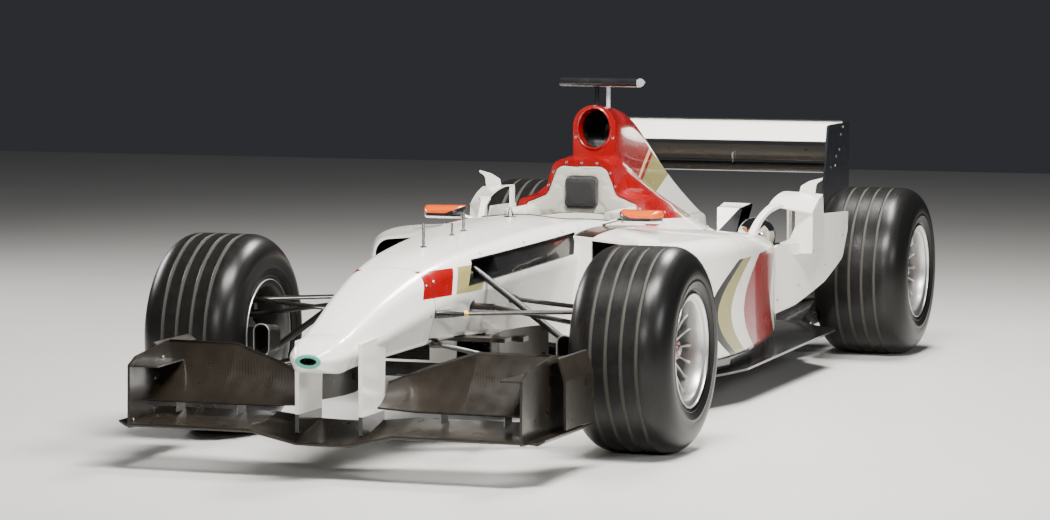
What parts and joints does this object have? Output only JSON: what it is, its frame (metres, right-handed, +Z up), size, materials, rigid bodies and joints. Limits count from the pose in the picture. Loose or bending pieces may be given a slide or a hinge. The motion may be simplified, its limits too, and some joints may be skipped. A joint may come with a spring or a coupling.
{
  "type": "open wheel racing car",
  "caption": "Single-seat open wheel racing car with raised nose, wings front and rear, pushrod suspension, steered front wheels and freely turning grooved tyres",
  "frame": {"origin": "on the ground under the middle of the car's box", "axes": "+X forward, +Y to the car's left, +Z up"},
  "size_m": [4.5748, 1.8, 1.128],
  "materials": {
    "body_paint": "gloss",
    "bare_carbon": "satin",
    "tyre_rubber": "matte",
    "wheel_alloy": "satin",
    "brake_carbon": "matte",
    "link_carbon": "gloss",
    "cast_alloy": "satin",
    "bright_shield": "polished",
    "collar_cover": "matte",
    "pad_cloth": "matte",
    "plank_wood": "matte",
    "lamp_red": "gloss",
    "core_alloy": "matte",
    "mirror_shell": "gloss",
    "black_grip": "matte"
  },
  "bodies": {
    "car": {"nose_cone": "body_paint", "monocoque": "body_paint", "front_wing_plane": "bare_carbon", "front_wing_flaps": "bare_carbon", "front_wing_endplates": "bare_carbon", "turning_vanes": "bare_carbon", "floor": "bare_carbon", "plank": "plank_wood", "sidepods": "body_paint", "radiators": "core_alloy", "engine": "cast_alloy", "gearbox": "cast_alloy", "crash_structure": "bare_carbon", "rain_light": "lamp_red", "engine_cover": "body_paint", "headrest_collar": "collar_cover", "head_pad": "pad_cloth", "seat": "bare_carbon", "dash": "bare_carbon", "mirrors": "mirror_shell", "nose_masts": "cast_alloy", "camera_wing": "black_grip", "flip_ups": "body_paint", "exhaust_outlets": "bright_shield", "rear_wing": "bare_carbon", "rear_endplates": "bare_carbon", "diffuser": "bare_carbon", "front_links": "link_carbon", "rear_links": "link_carbon", "rear_uprights": "cast_alloy"},
    "hand_wheel": {"steering_wheel": "black_grip"},
    "rack": {"steering_rack": "link_carbon"},
    "knuckle_left": {"knuckle_left": "cast_alloy"},
    "knuckle_right": {"knuckle_right": "cast_alloy"},
    "wheel_front_left": {"tyre_front_left": "tyre_rubber", "rim_front_left": "wheel_alloy", "hub_front_left": "brake_carbon"},
    "wheel_front_right": {"tyre_front_right": "tyre_rubber", "rim_front_right": "wheel_alloy", "hub_front_right": "brake_carbon"},
    "wheel_rear_left": {"tyre_rear_left": "tyre_rubber", "rim_rear_left": "wheel_alloy", "hub_rear_left": "brake_carbon"},
    "wheel_rear_right": {"tyre_rear_right": "tyre_rubber", "rim_rear_right": "wheel_alloy", "hub_rear_right": "brake_carbon"}
  },
  "joints": [
    {"name": "steer_left", "type": "hinge", "parent": "car", "child": "knuckle_left", "pos_m": [1.2525, 0.63, 0.33], "axis": [0, 0, 1], "range_deg": [-15, 15]},
    {"name": "steer_right", "type": "hinge", "parent": "car", "child": "knuckle_right", "pos_m": [1.2525, -0.63, 0.33], "axis": [0, 0, 1], "range_deg": [-15, 15]},
    {"name": "rack_travel", "type": "slide", "parent": "car", "child": "rack", "axis": [0, 1, 0], "range_m": [-0.021, 0.021]},
    {"name": "hand_wheel_turn", "type": "hinge", "parent": "car", "child": "hand_wheel", "pos_m": [0.1675, 0, 0.585], "axis": [-0.9511, 0, 0.309], "range_deg": [-136, 136]},
    {"name": "spin_front_left", "type": "hinge", "parent": "knuckle_left", "child": "wheel_front_left", "pos_m": [1.2525, 0.73, 0.33], "axis": [0, 1, 0], "continuous": true},
    {"name": "spin_front_right", "type": "hinge", "parent": "knuckle_right", "child": "wheel_front_right", "pos_m": [1.2525, -0.73, 0.33], "axis": [0, 1, 0], "continuous": true},
    {"name": "spin_rear_left", "type": "hinge", "parent": "car", "child": "wheel_rear_left", "pos_m": [-1.8875, 0.71, 0.33], "axis": [0, 1, 0], "continuous": true},
    {"name": "spin_rear_right", "type": "hinge", "parent": "car", "child": "wheel_rear_right", "pos_m": [-1.8875, -0.71, 0.33], "axis": [0, 1, 0], "continuous": true}
  ],
  "couplings": [
    {"joint": "steer_right", "follows": "steer_left", "ratio": 1},
    {"joint": "rack_travel", "follows": "steer_left", "m_per_rad": 0.0791},
    {"joint": "hand_wheel_turn", "follows": "steer_left", "ratio": 9}
  ]
}
